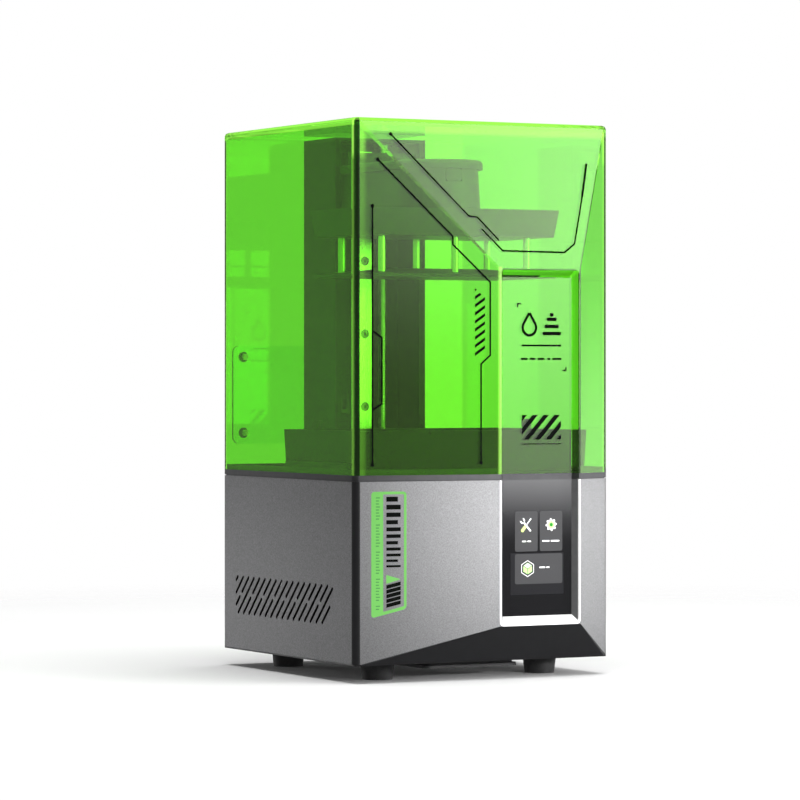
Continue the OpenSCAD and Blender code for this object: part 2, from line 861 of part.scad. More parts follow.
arm_back = tower_y0 - 2;
module arm_outline(r) {
    translate([0, plate_y]) circle(r = r, $fn = 72);
    translate([-r, plate_y]) square([2 * r, arm_back - plate_y]);
}

button_x = -2;
button_z = 410.4;
button_w = 14;
button_h = 10;
button_gap = 0.6;
module arm_body() {
    color([0.14, 0.14, 0.15])
    difference() {
        hull() {
            translate([0, 0, arm_low]) linear_extrude(eps) arm_outline(arm_r);
            translate([0, 0, arm_top - eps]) linear_extrude(eps) arm_outline(arm_r - 2);
        }
        difference() {
            intersection() {
                translate([0, 0, arm_low + 4]) linear_extrude(arm_h) arm_outline(arm_r - 5);
                box([-far, -far, arm_low], [far, arm_back - 12, arm_top + 1]);
            }
            for (x = [-22, 22], y = [-20, 20]) rod_z(x, plate_y + y, arm_low, arm_low + 14, 5);
        }
        box([button_x - button_w / 2 - button_gap, plate_y - 60, button_z - button_h / 2 - button_gap],
            [button_x + button_w / 2 + button_gap, plate_y - 26, button_z + button_h / 2 + button_gap]);
        for (x = [-22, 22], y = [-20, 20]) rod_z(x, plate_y + y, arm_low - 1, arm_low + 12, 2.1, 24);
    }
}

lid_over = 4;
module arm_lid() {
    color([0.14, 0.14, 0.15])
    hull() {
        translate([0, 0, arm_top]) linear_extrude(4.4) arm_outline(arm_r - 2 + lid_over);
        translate([0, 0, lid_top - 1]) linear_extrude(eps) arm_outline(arm_r + 1);
        translate([0, 0, lid_top - eps]) linear_extrude(eps) arm_outline(arm_r - 1);
    }
}

module release_button() {
    color([0.2, 0.2, 0.21])
    intersection() {
        translate([0, plate_y, 0]) rod_z(0, 0, arm_low, arm_top, arm_r - 1.7, 72);
        translate([button_x, plate_y - 20, button_z]) rotate([90, 0, 0])
            rounded_plate(button_w, button_h, 2, 9.5, 30);
    }
}

module arm_screws() {
    color([0.5, 0.5, 0.52])
    translate([0, plate_y, 0])
    for (x = [-22, 22], y = [-20, 20]) rod_z(x, y, block_top - 8, arm_low + 11, 2, 24);
}

module platform_block() {
    color([0.15, 0.15, 0.16])
    difference() {
        union() {
            translate([0, plate_y, 0])
                tapered_block([block_w - 8, block_d - 4], block_low, [block_w, block_d], block_top);
            rod_z(0, plate_y, block_top - 2, arm_low, 30);
        }
        for (p = post_places) rod_z(p[0], p[1], block_low - 1, spring_top, post_d / 2 + fit);
        for (x = [-22, 22], y = [-20, 20]) rod_z(x, plate_y + y, block_top - 9, arm_low + 1, 2, 24);
    }
}

// Cone washers stacked in pairs, mouth to mouth
module disc_springs() {
    color([0.6, 0.6, 0.62])
    for (p = post_places, i = [0:3])
        translate([p[0], p[1], post_top + i * 2])
        rotate_extrude($fn = 32)
            polygon([[1.3, 0.7], [2.8, 0], [2.8, 0.4], [1.7, 1], [2.8, 1.6], [2.8, 2], [1.3, 1.3]]);
}

roof_h = 8;
module platform_posts() {
    color([0.8, 0.8, 0.82])
    for (p = post_places) rod_z(p[0], p[1], plate_low + 3, post_top, post_d / 2, 32);
}

module build_plate() {
    color([0.22, 0.22, 0.23])
    difference() {
        translate([0, plate_y, 0])
        hull() {
            box([-plate_w / 2, -plate_d / 2, plate_low], [plate_w / 2, plate_d / 2, plate_low + 2.6]);
            box([-plate_w / 2 + 40, -4, plate_low], [plate_w / 2 - 40, 4, plate_low + roof_h]);
        }
        for (p = post_places) rod_z(p[0], p[1], plate_low + 3, post_top, post_d / 2, 32);
    }
}

// ---- vat ----

vat_low = deck_top + 1;
vat_floor = vat_low + 3;
module vat_body() {
    color([0.16, 0.16, 0.17])
    difference() {
        translate([0, plate_y, 0]) difference() {
            tapered_block([vat_w - 3, vat_d - 3], vat_low, [vat_w, vat_d], vat_top);
            tapered_block([vat_w - 24, vat_d - 18], vat_floor + 2, [vat_w - 20, vat_d - 14], vat_top + eps);
            box([-88, -54, vat_low - 1], [88, 54, vat_floor + 3]);
            box([-95.8, -65, vat_low - 1], [95.8, 65, vat_floor]);
        }
        for (x = [-knob_x, knob_x]) rod_z(x, knob_y, vat_low - 1, vat_top + 1, 2.05);
    }
}

module vat_film() {
    color([0.8, 0.85, 0.9, 0.4])
    translate([0, plate_y, 0]) box([-95, -64, vat_low], [95, 64, vat_low + 0.2]);
}

module film_frame() {
    color([0.7, 0.7, 0.72])
    difference() {
        translate([0, plate_y, 0]) difference() {
            box([-95.5, -64.5, vat_low + 0.2], [95.5, 64.5, vat_floor]);
            box([-88.5, -54.5, vat_low - 1], [88.5, 54.5, vat_floor + 1]);
        }
        film_holes(1.3, vat_low - 1, vat_floor + 1);
    }
}

module film_holes(r, z0, z1) {
    for (x = [-5:5], y = [-59.5, 59.5]) rod_z(x * 17, plate_y + y, z0, z1, r, 20);
    for (x = [-92, 92], y = [-2:2]) rod_z(x, plate_y + y * 20, z0, z1, r, 20);
}

module film_screws() {
    color([0.45, 0.45, 0.47]) film_holes(1.25, vat_low + 0.2, vat_floor);
}

module vat_guides() {
    color([0.12, 0.12, 0.13])
    for (side = [-1, 1]) {
        box([side * 106.5 - 2.5, plate_y - 55, deck_top], [side * 106.5 + 2.5, plate_y + 55, deck_top + 9]);
        for (y = [-45, 45]) rod_z(side * 106.5, plate_y + y, deck_top + 9, deck_top + 10.4, 2.2, 24);
    }
}

module knob(side) {
    x = side * knob_x;
    rod_z(x, knob_y, base_top + 0.4, vat_top + 1, 2);
    difference() {
        union() {
            rod_z(x, knob_y, vat_top, vat_top + 1.5, 3.6, 32);
            rod_z(x, knob_y, vat_top + 1.5, vat_top + 8, 4.3, 48);
        }
        for (i = [0:11])
            rod_z(x + 4.8 * cos(i * 30), knob_y + 4.8 * sin(i * 30), vat_top + 1, vat_top + 9, 0.8, 16);
    }
}

module vat_knob_left() {
    color([0.1, 0.1, 0.1]) knob(-1);
}

module vat_knob_right() {
    color([0.1, 0.1, 0.1]) knob(1);
}

// ---- cover ----

module cover() {
    color([0.45, 0.95, 0.25, 0.4])
    difference() {
        intersection() {
            body_solid(0);
            box([-far, -far, deck_top], [far, far, total_h + 1]);
        }
        difference() {
            body_solid(cover_t);
            sunken_panel(cover_t);
        }
        sunken_panel(0);
        for (p = hatch_places) rod_y(p[0], p[1], back_y - 5, back_y + 1, 1.6, 24);
    }
}

// The hatch plate stands clear of the cover on a pad round each screw
pad_t = 0.3;
module cover_hatch() {
    color([0.35, 0.85, 0.2, 0.5])
    difference() {
        union() {
            translate([(hatch_left + hatch_right) / 2, back_y, (hatch_low + hatch_high) / 2])
                rotate([-90, 0, 0])
                rounded_plate(hatch_right - hatch_left, hatch_high - hatch_low, 6, pad_t, hatch_t);
            for (p = hatch_places) rod_y(p[0], p[1], back_y, back_y + pad_t, 4.5);
        }
        for (p = hatch_places) {
            rod_y(p[0], p[1], back_y - 1, back_y + hatch_t + 1, 1.6, 24);
            translate([p[0], back_y + hatch_t - 1.6, p[1]]) rotate([-90, 0, 0])
                cylinder(r1 = 1.6, r2 = 3.2, h = 1.6 + eps, $fn = 32);
        }
    }
}

module hatch_screws() {
    color([0.6, 0.6, 0.6])
    for (p = hatch_places) {
        rod_y(p[0], p[1], back_y - cover_t - 3, back_y + hatch_t - 1.6, 1.5, 24);
        translate([p[0], back_y + hatch_t - 1.6, p[1]]) rotate([-90, 0, 0])
            cylinder(r1 = 1.5, r2 = 3.1, h = 1.6, $fn = 32);
        difference() {
            rod_y(p[0], p[1], back_y - cover_t - 2.4, back_y - cover_t, 3.1, 6);
            rod_y(p[0], p[1], back_y - cover_t - 3, back_y - cover_t + 1, 1.5, 24);
        }
    }
}

base_shell();
front_fascia();
front_chin();
bottom_plate();
service_cover();
feet();
foot_screws();
screen_trim();
screen_bezel();
touch_glass();
display_module();
display_ribbon();
deck_frame();
deck_plate();
cover_seal();
lcd_panel();
lcd_tape();
light_housing();
collimating_lens();
led_board();
led_heatsink();
mainboard();
fan_frame();
fan_rotor();
usb_socket();
power_inlet();
switch_housing();
switch_rocker();
tower();
tower_cap();
z_rail();
rail_screws();
z_motor();
motor_shaft();
shaft_coupler();
lead_screw();
top_bearing();
home_sensor();
sensor_flag();
rail_carriage();
carriage_bracket();
lead_nut();
arm_body();
arm_lid();
arm_screws();
release_button();
platform_block();
disc_springs();
platform_posts();
build_plate();
vat_body();
vat_film();
film_frame();
film_screws();
vat_guides();
vat_knob_left();
vat_knob_right();
cover();
cover_hatch();
hatch_screws();
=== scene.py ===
"""Looks of the desktop resin printer: camera, studio, materials, printed marks and the screen's picture.

Every piece is in metres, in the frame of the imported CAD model. Outlines of printed marks are in
millimetres, as X and Z seen from the front, and lie on the CAD face in front of which they are drawn.
"""

import math

import bmesh
import bpy
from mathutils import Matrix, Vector
from mathutils.bvhtree import BVHTree


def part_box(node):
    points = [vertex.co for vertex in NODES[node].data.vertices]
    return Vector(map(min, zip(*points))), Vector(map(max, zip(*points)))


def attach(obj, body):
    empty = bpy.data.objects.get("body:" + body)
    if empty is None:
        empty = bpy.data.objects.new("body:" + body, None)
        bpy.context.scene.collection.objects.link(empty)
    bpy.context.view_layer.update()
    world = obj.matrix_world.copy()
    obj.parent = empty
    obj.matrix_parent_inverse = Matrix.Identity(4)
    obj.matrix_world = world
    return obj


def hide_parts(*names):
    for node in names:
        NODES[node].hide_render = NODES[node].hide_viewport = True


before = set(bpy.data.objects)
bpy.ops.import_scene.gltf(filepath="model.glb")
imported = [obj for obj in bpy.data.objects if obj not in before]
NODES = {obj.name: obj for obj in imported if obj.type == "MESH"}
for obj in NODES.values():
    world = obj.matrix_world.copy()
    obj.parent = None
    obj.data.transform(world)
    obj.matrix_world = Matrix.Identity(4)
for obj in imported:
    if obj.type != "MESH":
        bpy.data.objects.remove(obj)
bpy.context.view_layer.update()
scene = bpy.context.scene
MM = 0.001

# From the CAD, in millimetres: where the rim of the cover's panel ends, and how far the front bulges out.
RIM_TOP = 333
BULGE = 13.5


# ---- camera ----

VIEW_TURN = math.radians(-28.38)

camera = bpy.data.objects.new("camera", bpy.data.cameras.new("camera"))
scene.collection.objects.link(camera)
camera.location = (-1.5325, -2.8093, 0.248)
camera.rotation_euler = (math.radians(90), 0, VIEW_TURN)
camera.data.sensor_width = 36
camera.data.lens = 172.3
camera.data.shift_y = -0.0342
camera.data.clip_end = 60
scene.camera = camera
scene.view_settings.view_transform = "Standard"


# ---- studio ----

def look_at(thing, target):
    thing.rotation_euler = (Vector(target) - thing.location).to_track_quat("-Z", "Y").to_euler()


def softbox(name, place, target, size, power):
    """A soft rectangular lamp that shines at target."""
    lamp = bpy.data.lights.new(name, "AREA")
    lamp.shape = "RECTANGLE"
    lamp.size, lamp.size_y = size
    lamp.energy = power
    thing = bpy.data.objects.new(name, lamp)
    scene.collection.objects.link(thing)
    thing.location = place
    look_at(thing, target)
    return thing


KEY_DISTANCE = 2.4
POOL_SOFTNESS = 0.12


def on_ring(turn, height):
    """A place round the object: turn 0 is in front, and positive turns go to its right."""
    angle = math.radians(turn)
    return Vector((math.sin(angle) * KEY_DISTANCE, -math.cos(angle) * KEY_DISTANCE, height))


def graded(lamp, *gradients):
    """Makes a lamp's brightness change across it.

    Each gradient is (axis, from, to, brightness at from, brightness at to), along a world axis in metres.
    """
    lamp.use_nodes = True
    nodes, links = lamp.node_tree.nodes, lamp.node_tree.links
    place = nodes.new("ShaderNodeSeparateXYZ")
    links.new(nodes.new("ShaderNodeNewGeometry").outputs["Position"], place.inputs[0])
    strength = None
    for axis, start, end, low, high in gradients:
        step = nodes.new("ShaderNodeMapRange")
        step.interpolation_type = "SMOOTHSTEP"
        for socket, value in zip(("From Min", "From Max", "To Min", "To Max"), (start, end, low, high)):
            step.inputs[socket].default_value = value
        links.new(place.outputs[axis], step.inputs["Value"])
        if strength is None:
            strength = step.outputs["Result"]
        else:
            product = nodes.new("ShaderNodeMath")
            product.operation = "MULTIPLY"
            links.new(strength, product.inputs[0])
            links.new(step.outputs["Result"], product.inputs[1])
            strength = product.outputs[0]
    links.new(strength, nodes["Emission"].inputs["Strength"])


def key_softbox(name, turns, heights, *gradients):
    """An upright softbox between two turns and two heights, which the object's front faces mirror."""
    turn, height = sum(turns) / 2, sum(heights) / 2
    width = 2 * KEY_DISTANCE * math.tan(math.radians((turns[1] - turns[0]) / 2))
    tall = heights[1] - heights[0]
    unit_power = math.pi * width * tall
    box = softbox(name, on_ring(turn, height), (0, 0, height), (width, tall), unit_power)
    graded(box.data, *gradients)
    return box


def pool_light(name, place, target, radius, power):
    """A spotlight whose soft round pool has that radius at its target."""
    lamp = bpy.data.lights.new(name, "SPOT")
    thing = bpy.data.objects.new(name, lamp)
    scene.collection.objects.link(thing)
    thing.location = place
    look_at(thing, target)
    lamp.spot_size = 2 * math.atan(radius / (Vector(place) - Vector(target)).length)
    lamp.spot_blend = 1.0
    lamp.shadow_soft_size = POOL_SOFTNESS
    lamp.energy = power


LOWER_ROW = (0.0, 0.7)
UPPER_ROW = (0.71, 1.9)
FADE_AT_FLOOR = ("Z", 0.0, 0.12, 0.0, 1.0)
BRIGHTER_TO_RIGHT = ("X", 0.95, 1.4, 2.4, 5.0)

key_softbox("left_key", (6, 21.5), (0.05, 1.9), ("Z", 0.2, 0.58, 0.15, 2.2), ("X", 0.4, 0.85, 0.5, 1.3))
key_softbox(
    "middle_key", (22, 51), LOWER_ROW, ("Z", 0.1, 0.45, 2.0, 3.6), ("X", 0.9, 1.25, 0.8, 1.05), FADE_AT_FLOOR)
key_softbox("upper_key", (22, 37), UPPER_ROW, BRIGHTER_TO_RIGHT)
# Seen from behind, the cover's flat top would mirror this one as a white patch.
upper_fill = key_softbox("upper_fill", (37, 51), UPPER_ROW, BRIGHTER_TO_RIGHT)
upper_fill.visible_glossy = False
key_softbox("side_key", (52, 85), LOWER_ROW, ("Z", 0.1, 0.45, 2.2, 0.9), FADE_AT_FLOOR)
key_softbox("upper_side_key", (52, 85), UPPER_ROW, ("Z", 0.7, 1.9, 1.6, 2.4))
softbox("top_softbox", (0, -0.1, 2.4), (0, 0, 0), (2.0, 2.0), 75)
softbox("left_softbox", (-0.55, 1.7, 0.14), (-0.118, 0, 0.06), (0.45, 0.4), 0.5)
pool_light("left_pool", (-0.9, 1.5, 0.2), (-0.118, 0.1, -0.01), 0.16, 19)
pool_light("fascia_pool", on_ring(15, 0.55), (0.075, -0.125, 0.11), 0.155, 230)
pool_light("right_pool", on_ring(66, 0.35), (0.1, -0.122, 0.09), 0.11, 190)


WORLD_LIGHT = 0.16
WORLD_SEEN = 1.0


def add_world():
    """White where the camera looks, straight or through the clear cover, and grey where it lights things."""
    world = bpy.data.worlds.new("studio")
    scene.world = world
    world.use_nodes = True
    nodes, links = world.node_tree.nodes, world.node_tree.links
    path = nodes.new("ShaderNodeLightPath")
    seen = nodes.new("ShaderNodeMath")
    seen.operation = "MAXIMUM"
    links.new(path.outputs["Is Camera Ray"], seen.inputs[0])
    links.new(path.outputs["Is Transmission Ray"], seen.inputs[1])
    level = nodes.new("ShaderNodeMapRange")
    level.inputs["To Min"].default_value = WORLD_LIGHT
    level.inputs["To Max"].default_value = WORLD_SEEN
    links.new(seen.outputs[0], level.inputs["Value"])
    links.new(level.outputs["Result"], nodes["Background"].inputs["Strength"])
    nodes["Background"].inputs["Color"].default_value = (1, 1, 1, 1)


FLOOR_RADIUS = 3.5
FLOOR_SOLID = 0.4
FLOOR_GONE = 1.3


def add_floor():
    """A round pale floor that fades into the white around it."""
    mesh = bpy.data.meshes.new("floor")
    shape = bmesh.new()
    bmesh.ops.create_circle(shape, cap_ends=True, radius=FLOOR_RADIUS, segments=96)
    shape.to_mesh(mesh)
    shape.free()
    floor = bpy.data.objects.new("floor", mesh)
    scene.collection.objects.link(floor)
    material = bpy.data.materials.new("floor_white")
    material.use_nodes = True
    nodes, links = material.node_tree.nodes, material.node_tree.links
    shader = nodes["Principled BSDF"]
    shader.inputs["Base Color"].default_value = (0.92, 0.92, 0.92, 1)
    shader.inputs["Roughness"].default_value = 0.6
    shader.inputs["Emission Color"].default_value = (1, 1, 1, 1)
    shader.inputs["Emission Strength"].default_value = 0.012
    coords = nodes.new("ShaderNodeTexCoord")
    radius = nodes.new("ShaderNodeVectorMath")
    radius.operation = "LENGTH"
    fade = nodes.new("ShaderNodeMapRange")
    fade.inputs["From Min"].default_value = FLOOR_SOLID
    fade.inputs["From Max"].default_value = FLOOR_GONE
    fade.inputs["To Min"].default_value = 1.0
    fade.inputs["To Max"].default_value = 0.0
    clear = nodes.new("ShaderNodeBsdfTransparent")
    mixed = nodes.new("ShaderNodeMixShader")
    links.new(coords.outputs["Object"], radius.inputs[0])
    links.new(radius.outputs["Value"], fade.inputs["Value"])
    links.new(fade.outputs["Result"], mixed.inputs[0])
    links.new(clear.outputs[0], mixed.inputs[1])
    links.new(shader.outputs[0], mixed.inputs[2])
    links.new(mixed.outputs[0], nodes["Material Output"].inputs["Surface"])
    mesh.materials.append(material)
    floor.visible_glossy = False


add_world()
add_floor()


# ---- materials ----

class Paint:
    """One material's node tree. Sizes are in millimetres on the object."""

    # Where a mix node keeps its two colours and its result.
    MIX_FIRST, MIX_SECOND, MIX_RESULT = 6, 7, 2

    def __init__(self, name, colour, roughness, **constants):
        self.material = bpy.data.materials.new(name)
        self.material.use_nodes = True
        self.nodes = self.material.node_tree.nodes
        self.links = self.material.node_tree.links
        self.shader = self.nodes["Principled BSDF"]
        self.place = self.nodes.new("ShaderNodeTexCoord").outputs["Object"]
        self.put("Base Color", (*colour, 1))
        self.put("Roughness", roughness)
        for socket, value in constants.items():
            self.put(socket.replace("_", " "), value)

    def put(self, socket, value):
        """Gives the shader's socket a constant, or links an output to it."""
        if isinstance(value, bpy.types.NodeSocket):
            self.links.new(value, self.shader.inputs[socket])
        else:
            self.shader.inputs[socket].default_value = value

    def stretched(self, x, y, z):
        """The object's own coordinates, scaled along each axis."""
        mapping = self.nodes.new("ShaderNodeMapping")
        mapping.inputs["Scale"].default_value = (x, y, z)
        self.links.new(self.place, mapping.inputs["Vector"])
        return mapping.outputs[0]

    def noise(self, size, detail=2.0, place=None, roughness=0.5):
        node = self.nodes.new("ShaderNodeTexNoise")
        node.inputs["Scale"].default_value = 1 / (size * MM)
        node.inputs["Detail"].default_value = detail
        node.inputs["Roughness"].default_value = roughness
        self.links.new(place or self.place, node.inputs["Vector"])
        return node.outputs["Fac"]

    def cells(self, size):
        node = self.nodes.new("ShaderNodeTexVoronoi")
        node.inputs["Scale"].default_value = 1 / (size * MM)
        self.links.new(self.place, node.inputs["Vector"])
        return node.outputs["Distance"]

    def ramp(self, factor, *stops):
        """A colour for each value of factor, from (value, colour) pairs."""
        node = self.nodes.new("ShaderNodeValToRGB")
        points = node.color_ramp.elements
        while len(points) < len(stops):
            points.new(0.5)
        for point, (value, colour) in zip(points, stops):
            point.position = value
            point.color = (*colour, 1)
        self.links.new(factor, node.inputs["Fac"])
        return node.outputs["Color"]

    def level(self, factor, low, high, start, end):
        """factor from start to end becomes low to high."""
        node = self.nodes.new("ShaderNodeMapRange")
        for socket, value in zip(("From Min", "From Max", "To Min", "To Max"), (start, end, low, high)):
            node.inputs[socket].default_value = value
        self.links.new(factor, node.inputs["Value"])
        return node.outputs["Result"]

    def rise(self, factor, start, end):
        """0 before start and 1 after end."""
        return self.level(factor, 0.0, 1.0, start, end)

    def fall(self, factor, start, end):
        """1 before start and 0 after end."""
        return self.level(factor, 1.0, 0.0, start, end)

    def math(self, operation, first, second):
        node = self.nodes.new("ShaderNodeMath")
        node.operation = operation
        for socket, value in zip(node.inputs, (first, second)):
            if isinstance(value, bpy.types.NodeSocket):
                self.links.new(value, socket)
            else:
                socket.default_value = value
        return node.outputs[0]

    def product(self, first, *others):
        for other in others:
            first = self.math("MULTIPLY", first, other)
        return first

    def mix(self, share, first, second):
        """first where share is 0, second where it is 1."""
        node = self.nodes.new("ShaderNodeMix")
        node.data_type = "RGBA"
        self.links.new(share, node.inputs["Factor"])
        for socket, value in ((node.inputs[self.MIX_FIRST], first), (node.inputs[self.MIX_SECOND], second)):
            if isinstance(value, bpy.types.NodeSocket):
                self.links.new(value, socket)
            else:
                socket.default_value = (*value, 1)
        return node.outputs[self.MIX_RESULT]

    def axis(self, name):
        """The object's X, Y or Z coordinate in metres."""
        node = self.nodes.new("ShaderNodeSeparateXYZ")
        self.links.new(self.place, node.inputs[0])
        return node.outputs[name]

    def bump(self, height, depth, strength=1.0):
        """Relief of that depth in millimetres."""
        node = self.nodes.new("ShaderNodeBump")
        node.inputs["Strength"].default_value = strength
        node.inputs["Distance"].default_value = depth * MM
        self.links.new(height, node.inputs["Height"])
        self.links.new(node.outputs[0], self.shader.inputs["Normal"])


# Painted shade: the near-black put on the inner walls of the base shell, so that its vent slots look dark.
SLOT_PAINTED_SHADE = (0.002, 0.002, 0.002)


def dimmed(colour, share):
    return tuple(part * share for part in colour)


def painted_slot_shade_mask(paint, low, high):
    """Mask of painted shade: 1 behind the side walls and the back wall of a box, away from its corners and
    its foot.
    """
    inset, corner, foot = 0.3 * MM, 12 * MM, 3 * MM
    aside = paint.math("ABSOLUTE", paint.axis("X"), 0.0)
    back, up = paint.axis("Y"), paint.axis("Z")

    def within(width, depth):
        clear_of_side = paint.math("LESS_THAN", aside, high.x - width)
        clear_of_back = paint.math("LESS_THAN", back, high.y - depth)
        return paint.product(clear_of_side, clear_of_back)

    behind = paint.math("MAXIMUM", within(inset, corner), within(corner, inset))
    return paint.product(behind, paint.math("GREATER_THAN", up, low.z + foot))


def speckled(name, dark, light, roughness, metallic, inside_of=None):
    """Paint with fine metal flakes. A shell that is named gets near-black painted shade on its inner walls,
    so that its slots look black.
    """
    paint = Paint(name, light, roughness, Metallic=metallic)
    flakes = paint.noise(0.8, 3.0, roughness=0.7)
    colour = paint.ramp(flakes, (0.38, dark), (0.62, light))
    if inside_of:
        # painted shade on the shell's inner walls
        colour = paint.mix(painted_slot_shade_mask(paint, *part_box(inside_of)), colour, SLOT_PAINTED_SHADE)
    paint.put("Base Color", colour)
    paint.put("Roughness", paint.level(paint.noise(1.1), roughness - 0.03, roughness + 0.05, 0.3, 0.7))
    paint.bump(flakes, 0.01, 0.15)
    return paint.material


def moulded(name, colour, roughness, grain=0.5, depth=0.02, coat=0.0):
    """Moulded plastic with a fine spark-eroded grain."""
    paint = Paint(name, colour, roughness, Coat_Weight=coat, Coat_Roughness=0.08)
    grains = paint.noise(grain, 2.0)
    paint.put("Base Color", paint.ramp(paint.noise(6, 3.0), (0.3, dimmed(colour, 0.82)), (0.7, colour)))
    paint.put("Roughness", paint.level(grains, roughness - 0.03, roughness + 0.06, 0.3, 0.7))
    paint.bump(grains, depth, 0.5)
    return paint.material


def machined(name, colour, roughness, along=(1, 1, 1), depth=0.01):
    """Metal whose tool marks are drawn out along the axis with the smallest scale."""
    paint = Paint(name, colour, roughness, Metallic=1.0)
    marks = paint.noise(0.6, 3.0, paint.stretched(*along))
    paint.put("Base Color", paint.ramp(marks, (0.25, dimmed(colour, 0.78)), (0.75, colour)))
    paint.put("Roughness", paint.level(marks, roughness - 0.08, roughness + 0.1, 0.3, 0.7))
    paint.bump(marks, depth, 0.4)
    return paint.material


def polished(name, colour, roughness):
    """Smooth bright metal with the faintest cloudiness."""
    paint = Paint(name, colour, roughness, Metallic=0.35)
    cloud = paint.noise(14, 2.0)
    paint.put("Base Color", paint.ramp(cloud, (0.3, dimmed(colour, 0.97)), (0.7, colour)))
    paint.put("Roughness", paint.level(paint.noise(0.8), roughness - 0.03, roughness + 0.03, 0.3, 0.7))
    return paint.material


def anodised(name, colour, roughness):
    """Bead-blasted aluminium, dyed."""
    paint = Paint(name, colour, roughness, Metallic=0.75)
    blast = paint.noise(0.35, 2.0)
    paint.put("Base Color", paint.ramp(paint.noise(9, 3.0), (0.3, dimmed(colour, 0.85)), (0.7, colour)))
    paint.put("Roughness", paint.level(blast, roughness - 0.05, roughness + 0.08, 0.3, 0.7))
    paint.bump(blast, 0.02, 0.5)
    return paint.material


def acrylic():
    """Tinted fluorescent acrylic.

    Its side walls get a darker green as painted shade, and a near-black line of painted shade stands at
    the left front corner. The panel's left rim, the top edge and a band just behind the front wall glow
    as painted highlights.
    """
    low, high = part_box("cover")
    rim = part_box("screen_trim")
    # The darker side-wall green and the near-black are painted shade.
    front_tint, side_painted_shade_tint, black = (0.39, 0.9, 0.14), (0.25, 0.73, 0.075), (0.0002, 0.003, 0.0001)
    paint = Paint("green_acrylic", front_tint, 0.0, Transmission_Weight=1.0, IOR=1.49)
    paint.put("Roughness", paint.level(paint.noise(40), 0.0, 0.012, 0.4, 0.7))
    paint.bump(paint.noise(70, 1.0), 0.05, 0.3)
    x, y, z = (paint.axis(name) for name in "XYZ")
    edge = high.x
    front = low.y + BULGE * MM
    # Painted shade: the side walls get the darker green.
    side = paint.rise(paint.math("ABSOLUTE", x, 0.0), edge - 3.3 * MM, edge - 2.9 * MM)
    # Painted shade: a near-black line at the left front corner.
    corner_painted_shade = paint.product(
        paint.fall(x, -edge + 4.6 * MM, -edge + 5.0 * MM),
        paint.fall(y, front + 2.0 * MM, front + 2.4 * MM))
    paint.put("Base Color", paint.mix(corner_painted_shade, paint.mix(side, front_tint, side_painted_shade_tint), black))
    # Painted highlights: emission on the panel's left rim, along the top edge and in a band just behind the
    # front wall.
    from_rim = paint.math("ABSOLUTE", paint.math("SUBTRACT", x, rim[0].x + 0.5 * MM), 0.0)
    rim_painted_highlight = paint.product(
        paint.fall(from_rim, 1.0 * MM, 2.4 * MM),
        paint.fall(y, low.y + 2 * MM, low.y + 3 * MM),
        paint.fall(z, RIM_TOP * MM, (RIM_TOP + 1) * MM),
        0.7)
    top_painted_highlight = paint.level(z, 0.0, 0.3, high.z - 2.5 * MM, high.z - 2.0 * MM)
    upright_painted_highlight = paint.product(
        paint.rise(y, front + 2.2 * MM, front + 2.6 * MM),
        paint.fall(y, front + 4.2 * MM, front + 4.8 * MM),
        paint.level(z, 0.16, 0.6, high.z - 34 * MM, high.z - 28 * MM))
    glow = paint.math("MAXIMUM", rim_painted_highlight, paint.math("MAXIMUM", top_painted_highlight, upright_painted_highlight))
    # Painted glow: the highlights' emission, plus a faint even painted glow over the whole cover.
    paint.put("Emission Color", (0.45, 1.0, 0.13, 1))
    paint.put("Emission Strength", paint.math("ADD", glow, 0.008))
    return paint.material


def clear_plastic(name, colour, roughness):
    paint = Paint(name, colour, roughness, Transmission_Weight=1.0, IOR=1.5)
    paint.put("Roughness", paint.level(paint.noise(12), roughness, roughness + 0.04, 0.4, 0.7))
    return paint.material


def rubber():
    paint = Paint("rubber", (0.018, 0.018, 0.019), 0.7, Sheen_Weight=0.15)
    grain = paint.noise(0.8, 3.0)
    dark, light = (0.013, 0.013, 0.014), (0.025, 0.025, 0.026)
    paint.put("Base Color", paint.ramp(paint.noise(5, 2.0), (0.3, dark), (0.7, light)))
    paint.put("Roughness", paint.level(grain, 0.6, 0.78, 0.3, 0.7))
    paint.bump(grain, 0.05, 0.5)
    return paint.material


def screen_glass():
    """Black glass with a painted reflection: its upper part is painted lighter, fading to black downward."""
    low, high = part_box("touch_glass")
    paint = Paint("screen_glass", (0.012, 0.012, 0.014), 0.08, Coat_Weight=0.5, Coat_Roughness=0.02)
    share = paint.rise(paint.axis("Z"), low.z, high.z)
    dither = paint.math("MULTIPLY", paint.math("SUBTRACT", paint.noise(0.25), 0.5), 0.06)
    # painted reflection: lighter towards the top of the glass
    shade = paint.ramp(
        paint.math("ADD", share, dither),
        (0.55, (0.007, 0.007, 0.008)), (0.72, (0.010, 0.010, 0.012)),
        (0.86, (0.045, 0.045, 0.048)), (1.0, (0.085, 0.085, 0.089)))
    paint.put("Base Color", shade)
    paint.put("Roughness", paint.level(paint.noise(15), 0.05, 0.08, 0.3, 0.7))
    return paint.material


def circuit_board():
    paint = Paint("pcb", (0.02, 0.1, 0.05), 0.45)
    dark, light = (0.012, 0.075, 0.035), (0.02, 0.12, 0.06)
    paint.put("Base Color", paint.ramp(paint.cells(4.0), (0.2, dark), (0.5, light)))
    paint.put("Roughness", paint.level(paint.noise(2), 0.35, 0.55, 0.3, 0.7))
    return paint.material


def picture(name, colour, glow):
    """What the display shows: a faint dot pattern, lit from behind."""
    paint = Paint(name, colour, 0.12, Specular_IOR_Level=0.3)
    shade = paint.ramp(paint.noise(0.35, 1.0), (0.3, dimmed(colour, 0.92)), (0.7, colour))
    paint.put("Base Color", shade)
    paint.put("Emission Color", shade)
    paint.put("Emission Strength", glow)
    return paint.material


def print_ink(name, colour):
    """Screen-printed ink."""
    paint = Paint(name, colour, 0.7, Specular_IOR_Level=0.06)
    grain = paint.noise(0.4, 2.0)
    paint.put("Base Color", paint.ramp(grain, (0.3, dimmed(colour, 0.88)), (0.7, colour)))
    paint.put("Roughness", paint.level(grain, 0.6, 0.8, 0.3, 0.7))
    return paint.material


